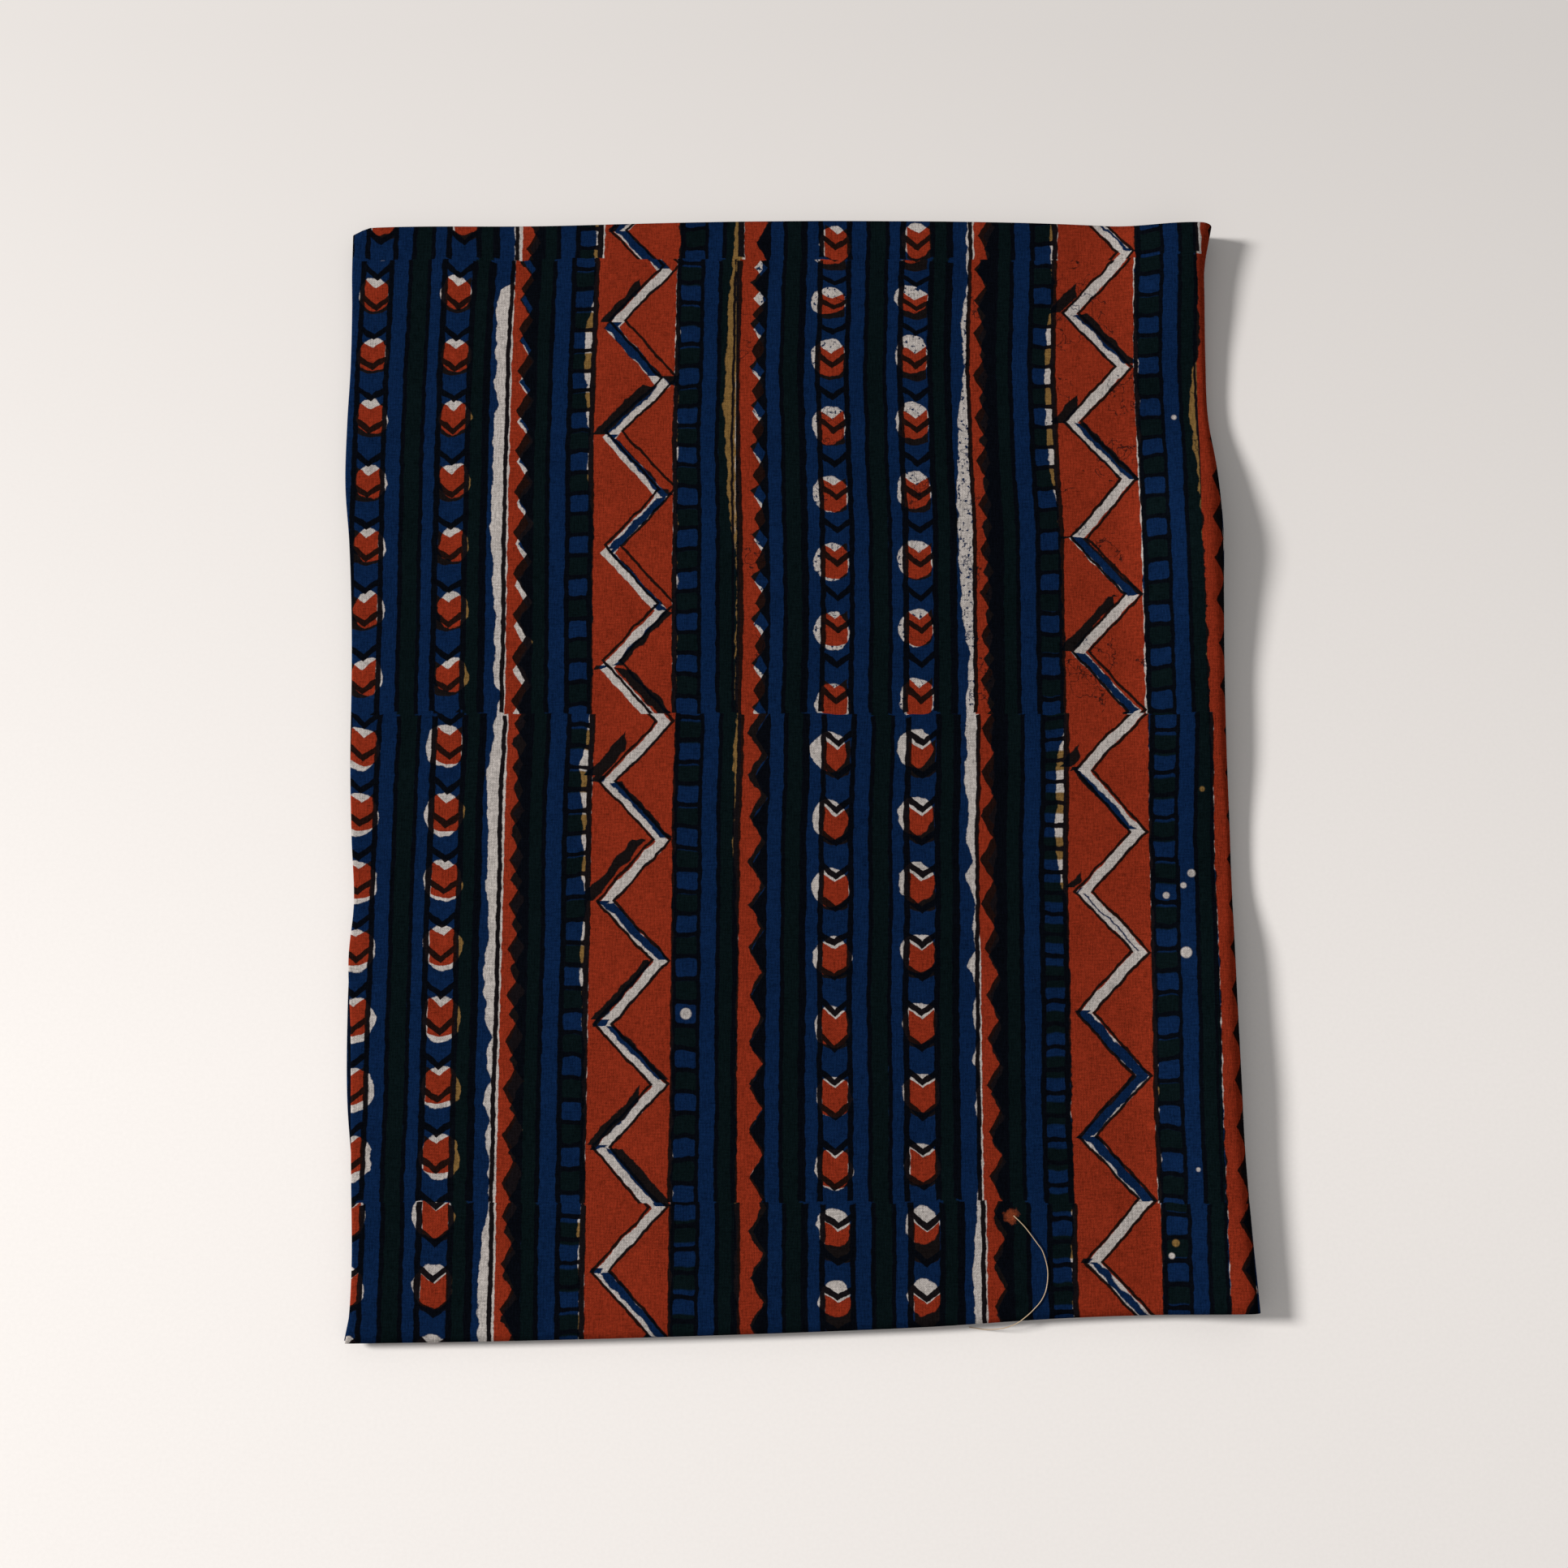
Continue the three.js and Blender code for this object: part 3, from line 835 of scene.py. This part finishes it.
class Print:
    """The print's layers, each as the distance in mm to the edge of its ink, positive inside it."""

    def __init__(self, tree, u, v):
        self.tree = tree
        self.place = (v - Y_LOW) / (Y_HIGH - Y_LOW)
        slow = smooth_noise(tree, u, v, 30.0, 0.0)
        jog = smooth_noise(tree, u, v * 0.2, 7.0, 1.0)
        v = v + slow[1] * SLOW_STRETCH + jog[1] * JOG
        column = ((u - BLOCK_CORNER[0]) / BLOCK_WIDTH).floor()
        row = ((v - BLOCK_CORNER[1]) / BLOCK_LENGTH).floor()
        self.w = u - BLOCK_CORNER[0] - column * BLOCK_WIDTH
        self.t = v - BLOCK_CORNER[1] - row * BLOCK_LENGTH
        self.is_left = column.math("FLOORED_MODULO", 2.0)
        self.is_far = row.above(-0.5)
        self.block = ((row + ROWS_BELOW) * 2.0 + self.is_left + 0.5) / BLOCKS
        self.resist = self.madder = self.black = self.yellow = None

        offset, resist_x, madder_x, resist_turn = self.by_block(OFFSETS, 4, 4.0)
        bends = lookup(self.t / BLOCK_LENGTH, along_rows(BENDS, 0, BLOCK_LENGTH), 4, 4.0)
        near_bend = bends[0].to(bends[2], self.is_left)
        far_bend = bends[1].to(bends[3], self.is_left)
        main_row = (row + 0.5).math("ABSOLUTE").math("LESS_THAN", 1.0)
        bend = near_bend.to(far_bend, self.is_far) * main_row + offset
        bend = bend - column.above(0.5) * PAST_RIGHT
        self.far_right = self.is_far * main_row * (1.0 - self.is_left)
        self.squeeze = (self.t - SQUEEZE_START).most(0.0) * SQUEEZE * self.far_right

        rough = smooth_noise(tree, u, v, 4.0, 3.0)
        self.black_w = self.w - bend + slow[0] * BOW + rough[0] * INK_ROUGH
        self.black_t = self.t + rough[1] * INK_ROUGH
        self.yellow_w = self.w - bend + rough[2] * INK_ROUGH
        self.yellow_t = self.t + rough[1] * YELLOW_ALONG_ROUGH
        rough = smooth_noise(tree, u + 300.0, v, 4.0, 3.0)
        self.madder_w = self.w - madder_x - bend * RED_BEND + rough[0] * RED_ROUGH
        self.madder_t = self.t + rough[1] * INK_ROUGH
        rough = smooth_noise(tree, u, v + 300.0, 6.0, 5.0)
        turn = (self.t - BLOCK_LENGTH / 2) * resist_turn / 100.0
        self.free_w = self.w + rough[0] * RESIST_ACROSS_ROUGH
        self.resist_w = self.free_w - resist_x - turn
        self.resist_t = self.t + rough[1] * RESIST_ALONG_ROUGH

    def by_block(self, table, columns, span):
        """A table's columns in the row of this block."""
        rows = [(i / len(table), *values) for i, values in enumerate(table)]
        return lookup(self.block, rows, columns, span, True)

    def by_y(self, table, columns, span, steps=False):
        """A table's columns at this place Y."""
        return lookup(self.place, along_rows(table, Y_LOW, Y_HIGH), columns, span, steps)

    def by_column(self, right_table, left_table, columns, span, steps=False):
        """The same, from one table in the right column of blocks and another in the left one."""
        right = self.by_y(right_table, columns, span, steps)
        left = self.by_y(left_table, columns, span, steps)
        return [a.to(b, self.is_left) for a, b in zip(right, left)]

    def join(self, layer, shape):
        """Adds a shape to a layer."""
        now = getattr(self, layer)
        setattr(self, layer, shape if now is None else now.most(shape))

    def lines(self):
        """The upright lines of the black block, which mostly stop short of its ends, and the stripes."""
        for low, high in BLACK_LINES:
            self.join("black", self.black_w.between(low, high))
        v = self.place * (Y_HIGH - Y_LOW)
        gap = smooth_noise(self.tree, self.w, v, 9.0)[0] * 3.0 + 0.2
        ends = self.black_t.between(gap, BLOCK_LENGTH - gap)
        self.black = self.black.least(ends)
        for low, high in YELLOW_STRIPES:
            self.join("yellow", self.yellow_w.between(low, high))

    def saw(self, saw, black_tip, red_tip, period, reach=0.0, later=0.0):
        """A red strip with teeth to the right, and black teeth to the left between them.

        reach is how much further left the black teeth are, and later how much further right the red
        starts.
        """
        into = (self.black_t + self.squeeze).tooth(black_tip, period)
        edge = into * SAW_DEPTH + (saw["black_tip"] - reach)
        self.join("black", (self.black_w - edge).least(saw["black_end"] - self.black_w))
        into = (self.madder_t + self.squeeze).tooth(red_tip, period)
        edge = saw["red_tip"] - into * SAW_DEPTH
        self.join("madder", (edge - self.madder_w).least(self.madder_w - (later + saw["start"])))

    def left_saw(self):
        black_tip, red_tip, tip, period = self.by_block(LEFT_SAW_TABLE, 4, 20.0)
        self.saw(LEFT_SAW, black_tip, red_tip, period)
        peak = self.far_right * FAR_RIGHT_OUT + LEFT_RESIST_TIP
        depth = self.far_right * FAR_RIGHT_DEEPER + SAW_DEPTH
        edge = peak - self.resist_t.tooth(tip, period) * depth
        here, next_one = self.by_y(SAW_EDGE, 2, 8.0)
        start = here.to(next_one, self.is_left)
        inside = (edge.least(LEFT_RESIST_LIMIT) - self.resist_w).least(self.free_w - start)
        self.join("resist", inside)
        # Past the block's right side, the same edge belongs to the next block.
        over = self.free_w - BLOCK_WIDTH
        self.join("resist", over - next_one.to(here, self.is_left))

    def right_saw(self):
        shape = self.by_column(RIGHT_SAW_SHAPE, LEFT_COLUMN_SAW_SHAPE, 4, 10.0)
        reach, past, depth, later = shape
        black_tip, red_tip, period = self.by_block(RIGHT_SAW_TABLE, 3, 20.0)
        self.saw(RIGHT_SAW, black_tip, red_tip, period, reach, later)
        into = self.resist_t.tooth(black_tip + past, period)
        edge = RIGHT_RESIST_TIP - self.far_right * FAR_RIGHT_IN - into * depth
        start = self.by_column(RIGHT_COLUMN_EDGE, LEFT_COLUMN_EDGE, 1, 80.0)[0]
        self.join("resist", (edge - self.resist_w).least(self.free_w - start))

    def chains(self):
        """Two chains of red cells on resist ovals, with black Vs between and over them."""
        v_tip, spacing, cell, period = self.by_block(CHAIN_TABLE, 4, 24.0)
        oval, oval_period, half, higher = self.by_block(OVAL_TABLE, 4, 24.0)
        for i, middle in enumerate(CHAINS):
            x = abs(self.black_w - middle)
            place = self.black_t + self.squeeze - x * V_SLOPE
            self.join("black", (V_HALF - place.near(v_tip, spacing)).least(CHAIN_HALF - x))

            x = abs(self.madder_w - middle)
            # Up the cell from its bottom: the bottom is a bowl and the top a notch with cut corners.
            height = ((self.madder_t + self.squeeze - cell) / period).fraction() * period
            bottom = height - x * x * CELL_BOWL
            top = x * CELL_NOTCH + CELL_HEIGHT - height
            corner = (CELL_SHOULDER - x * 0.9 - height) * 0.8
            self.join("madder", bottom.least(top).least(corner).least(CELL_HALF - x))

            x = (self.resist_w - middle) / (half * OVAL_WIDTH)
            y = (self.resist_t + self.squeeze).near(oval + higher * i, oval_period) / half
            round_out = (x * x + y * y).math("SQRT")
            self.join("resist", (1.0 - round_out) * half)

    def ladders(self):
        """Two black ladders whose cells are indigo and green in turn."""
        bars = self.by_block(LADDER_TABLE, 4, 20.0)
        for i, (middle, half) in enumerate(LADDERS):
            bar, green = bars[2 * i], bars[2 * i + 1]
            x = abs(self.black_w - middle)
            y = BAR_PERIOD / 2 - self.black_t.near(bar, BAR_PERIOD)
            out_x = (x - (half - CELL_CORNER)).most(0.0)
            out_y = (y - (BAR_PERIOD / 2 - BAR_HALF - CELL_CORNER)).most(0.0)
            outside = (out_x * out_x + out_y * out_y).math("SQRT") - CELL_CORNER
            self.join("black", outside.least(half + LADDER_FRAME - x))
            y = self.yellow_t.near(green, GREEN_PERIOD)
            x = abs(self.yellow_w - middle)
            self.join("yellow", (GREEN_HALF - y).least(half + LADDER_FRAME / 2 - x))

    def zigzag_place(self, w, t, tip):
        """How far above the zigzag's middle line a point is, square to the stroke."""
        middle = t.near(tip, ZIG_PERIOD) * (2 * ZIG_SWING / ZIG_PERIOD) + ZIG_LEFT
        rising = ((t - tip) / ZIG_PERIOD).fraction().math("LESS_THAN", 0.5)
        side = 1.0 - rising * 2.0
        return (w - middle) * side * ZIG_SQUARE

    def band(self):
        """The red band, with its open zigzag, black outlines and the resist's indigo strokes."""
        tip, outline_x, outline_t = self.by_block(ZIG_TABLE, 3, 30.0)
        square = abs(self.zigzag_place(self.black_w - outline_x, self.black_t - outline_t, tip))
        outline = ZIG_OUTLINE_HALF - abs(square - ZIG_OUTLINE)
        inside = self.black_w.between(BAND[0], BAND[1])
        self.join("black", outline.least(inside))
        square = abs(self.zigzag_place(self.madder_w, self.madder_t, tip))
        red = (square - ZIG_GAP).least(self.madder_w.between(*BAND))
        self.join("madder", red)
        above = self.zigzag_place(self.resist_w, self.resist_t, tip)
        centre, half, stop = self.by_column(*STROKES, 3, 5.0, True)
        stroke = (half - abs(above - centre)).least(stop * 10.0 + STROKE_STOP - self.resist_w)
        start = self.by_y(BAND_EDGE, 2, 110.0)
        start = start[0].to(start[1], self.is_left)
        inside = (self.free_w - start).least(130.0 - self.free_w)
        self.join("resist", inside.least(stroke * -1.0 - 0.15))

    def crackle(self, u, v):
        """The far right block's resist cracked and crumbled, so that indigo got through it."""
        elsewhere = (1.0 - self.far_right) * 5.0
        vein = abs(smooth_noise(self.tree, u, v, 9.0, 3.0)[2]) * VEIN_REACH - VEIN_HALF
        patch = smooth_noise(self.tree, u, v, 16.0)[1]
        whole = (VEIN_PATCHES - patch).most(0.0) * 60.0
        self.resist = self.resist.least(vein + whole + elsewhere)
        crumbs = (CRUMB_LEVEL - smooth_noise(self.tree, u, v, 1.4, 2.0)[0]) * 3.0
        in_red = self.madder.most(0.0) * 6.0
        past_strip = (self.w - RIGHT_SAW["black_end"]).most(0.0)
        self.resist = self.resist.least(crumbs + in_red + past_strip + elsewhere)


def mix_colours(tree, share, first, second):
    """The first colour where share is 0 and the second where it is 1; both are colours or sockets."""
    node = tree.nodes.new("ShaderNodeMix")
    node.data_type = "RGBA"
    node.clamp_factor = True
    tree.links.new(share.socket, node.inputs[0])
    for socket, colour in ((node.inputs[6], first), (node.inputs[7], second)):
        if isinstance(colour, tuple):
            socket.default_value = (*colour, 1.0)
        else:
            tree.links.new(colour, socket)
    return node.outputs[2]


def new_material(name, roughness):
    material = bpy.data.materials.new(name)
    material.use_nodes = True
    tree = material.node_tree
    shader = tree.nodes["Principled BSDF"]
    shader.inputs["Roughness"].default_value = roughness
    return material, tree, shader


def add_bump(tree, shader, height, strength, distance):
    """Bump from a height, at most distance mm deep."""
    bump = tree.nodes.new("ShaderNodeBump")
    bump.inputs["Strength"].default_value = strength
    bump.inputs["Distance"].default_value = distance * MM
    tree.links.new(height.socket, bump.inputs["Height"])
    tree.links.new(bump.outputs[0], shader.inputs["Normal"])


def axes(tree, place):
    """The X and Y of a place."""
    split = tree.nodes.new("ShaderNodeSeparateXYZ")
    tree.links.new(place, split.inputs[0])
    return [Num(tree, split.outputs[k]) for k in (0, 1)]


def cloth_coordinates(tree):
    """U and V of the flat cloth in millimetres."""
    node = tree.nodes.new("ShaderNodeUVMap")
    node.uv_map = "cloth"
    return [along * (1 / MM) for along in axes(tree, node.outputs[0])]


YARN = 0.36  # mm between yarns
WEAVE_DEPTH = 0.12  # mm


def yarns(tree, u, v):
    """Two numbers from -0.5 to 0.5 that differ from yarn to yarn, upright and level ones."""
    upright = smooth_noise(tree, u, v * 0.12, 0.42, 1.0)[0]
    level = smooth_noise(tree, u * 0.12, v, 0.42, 1.0)[1]
    return upright, level


def weave_bump(tree, shader, u, v):
    """Plain weave as bump: the yarns of each direction pass over and under the other's."""
    warp = (u * (math.pi / YARN)).math("SINE")
    weft = (v * (math.pi / YARN)).math("SINE")
    crossing = warp * weft
    upright, level = yarns(tree, u, v)
    height = crossing * 0.25 + upright + level
    add_bump(tree, shader, height, 0.55, WEAVE_DEPTH)


def distance_to(u, v, x, y):
    """How far a point of the cloth is from a place on it."""
    return ((u - x) * (u - x) + (v - y) * (v - y)).math("SQRT")


def print_material(name, strength):
    """The printed cotton. strength is how much of the blocks' inks shows: 1 on the printed side."""
    material, tree, shader = new_material(name, 0.9)
    shader.inputs["Specular IOR Level"].default_value = 0.0
    u, v = cloth_coordinates(tree)
    art = Print(tree, u, v)
    art.lines()
    art.left_saw()
    art.right_saw()
    art.chains()
    art.ladders()
    art.band()
    art.crackle(u, v)
    indigo = art.resist.math("MULTIPLY_ADD", -1 / 0.3, 0.5, clamp=True)
    yellow = art.yellow.ink(0.5) * strength
    madder = art.madder.ink() * strength
    black = art.black.ink() * strength

    colour = mix_colours(tree, indigo, WHITE, INDIGO)
    colour = mix_colours(tree, yellow, colour, mix_colours(tree, indigo, OCHRE, GREEN))
    colour = mix_colours(tree, madder, colour, mix_colours(tree, indigo, MADDER, MADDER_ON_INDIGO))
    dark = mix_colours(tree, madder, BLACK_ON_WHITE, BLACK_ON_MADDER)
    colour = mix_colours(tree, black, colour, mix_colours(tree, indigo, dark, BLACK_ON_INDIGO))
    for x, y, radius, took_yellow in DROPS:
        spot = (radius - distance_to(u, v, x, y)).ink(0.4) * 0.92
        colour = mix_colours(tree, spot, colour, OCHRE if took_yellow else WHITE)

    x, y, radius = RUST_SPOT
    rough = smooth_noise(tree, u, v, 1.6, 2.0)[0] * 3.0
    spot = (radius - distance_to(u, v, x, y) + rough).ink(1.2) * 0.85
    colour = mix_colours(tree, spot, colour, RUST)

    # Mottled dye: the yarns take it unevenly.
    grain = smooth_noise(tree, u, v, 0.55, 2.0)[0]
    patch = smooth_noise(tree, u, v, 14.0, 2.0)[0]
    upright, across = yarns(tree, u, v)
    level = grain * 0.9 + (upright + across) * 0.7 + patch * 0.3 + 1.0
    gain = tree.nodes.new("ShaderNodeVectorMath")
    gain.operation = "SCALE"
    tree.links.new(colour, gain.inputs[0])
    tree.links.new(level.socket, gain.inputs["Scale"])
    tree.links.new(gain.outputs[0], shader.inputs["Base Color"])
    weave_bump(tree, shader, u, v)
    return material


def fine_grain(tree):
    """The object's own coordinates and a fine noise on them, from 0 to 1."""
    place = tree.nodes.new("ShaderNodeTexCoord").outputs["Object"]
    node = tree.nodes.new("ShaderNodeTexNoise")
    node.inputs["Scale"].default_value = 900.0
    tree.links.new(place, node.inputs["Vector"])
    return place, Num(tree, node.outputs["Fac"])


def thread_material():
    material, tree, shader = new_material("pale_gold_thread", 0.45)
    shader.inputs["Sheen Weight"].default_value = 0.3
    _, share = fine_grain(tree)
    colour = mix_colours(tree, share, (0.28, 0.17, 0.08), (0.52, 0.40, 0.26))
    tree.links.new(colour, shader.inputs["Base Color"])
    add_bump(tree, shader, share, 0.5, 0.05)
    return material


# ---------------------------------------------------------------- pieces

cotton = add_object("printed_cotton_sheet", sheet_mesh())
cotton.data.materials.append(print_material("block_print_face", 1.0))
cotton.data.materials.append(print_material("block_print_back", 0.8))
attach(cotton, "root")
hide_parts("printed_cotton")
loose_thread.data.materials.append(thread_material())

# ---------------------------------------------------------------- floor and light

FLOOR_COLOUR = (0.80, 0.765, 0.74)
FLOOR_HALF = 4.0  # m
FLOOR_GRAIN = 0.03  # how much lighter and darker its grain is
FLOOR_FAR_PAINTED_SHADE = 0.80  # how bright its far part is beside the near one, under painted shade

KEY_DISTANCE = 3.5  # m
KEY_WIDTH = 0.75  # m
KEY_POWER = 168.0  # W
KEY_AZIMUTH = 170  # degrees, 180 being straight from the left
KEY_ELEVATION = 32  # degrees
ROOM_STRENGTH = 0.39


def make_floor():
    """A wide plain pale floor with a very faint cloth grain, and painted shade that darkens its far part.
    """
    mesh = bpy.data.meshes.new("pale_floor")
    corners = [(FLOOR_HALF * x, FLOOR_HALF * y, 0) for x, y in ((-1, -1), (1, -1), (1, 1), (-1, 1))]
    mesh.from_pydata(corners, [], [(0, 1, 2, 3)])
    floor = add_object("pale_floor", mesh)
    material, tree, shader = new_material("pale_floor", 0.95)
    shader.inputs["Specular IOR Level"].default_value = 0.1
    place, share = fine_grain(tree)
    dim, pale, painted_far_shade = (
        tuple(c * level for c in FLOOR_COLOUR) for level in (1 - FLOOR_GRAIN, 1 + FLOOR_GRAIN, FLOOR_FAR_PAINTED_SHADE)
    )
    # Painted shade: the floor's colour is a little darker towards the far side.
    far = (axes(tree, place)[1] + 0.1).math("DIVIDE", 0.35, clamp=True)
    colour = mix_colours(tree, share, dim, pale)
    colour = mix_colours(tree, far, colour, painted_far_shade)
    tree.links.new(colour, shader.inputs["Base Color"])
    floor.data.materials.append(material)


def make_lights():
    """A soft key light from the left, and even light from all round."""
    data = bpy.data.lights.new("key_light", "AREA")
    data.shape = "DISK"
    data.size = KEY_WIDTH
    data.energy = KEY_POWER
    data.color = (1.0, 0.985, 0.97)
    key = add_object("key_light", data)
    key.rotation_euler = (0.0, math.radians(90 - KEY_ELEVATION), math.radians(KEY_AZIMUTH))
    key.location = key.rotation_euler.to_matrix() @ Vector((0.0, 0.0, KEY_DISTANCE))
    world = bpy.data.worlds.new("soft_room")
    world.use_nodes = True
    background = world.node_tree.nodes["Background"]
    background.inputs["Color"].default_value = (1.0, 0.995, 0.99, 1.0)
    background.inputs["Strength"].default_value = ROOM_STRENGTH
    bpy.context.scene.world = world
    bpy.context.scene.view_settings.view_transform = "Standard"


make_floor()
make_lights()

# ---------------------------------------------------------------- finish

bpy.context.view_layer.update()
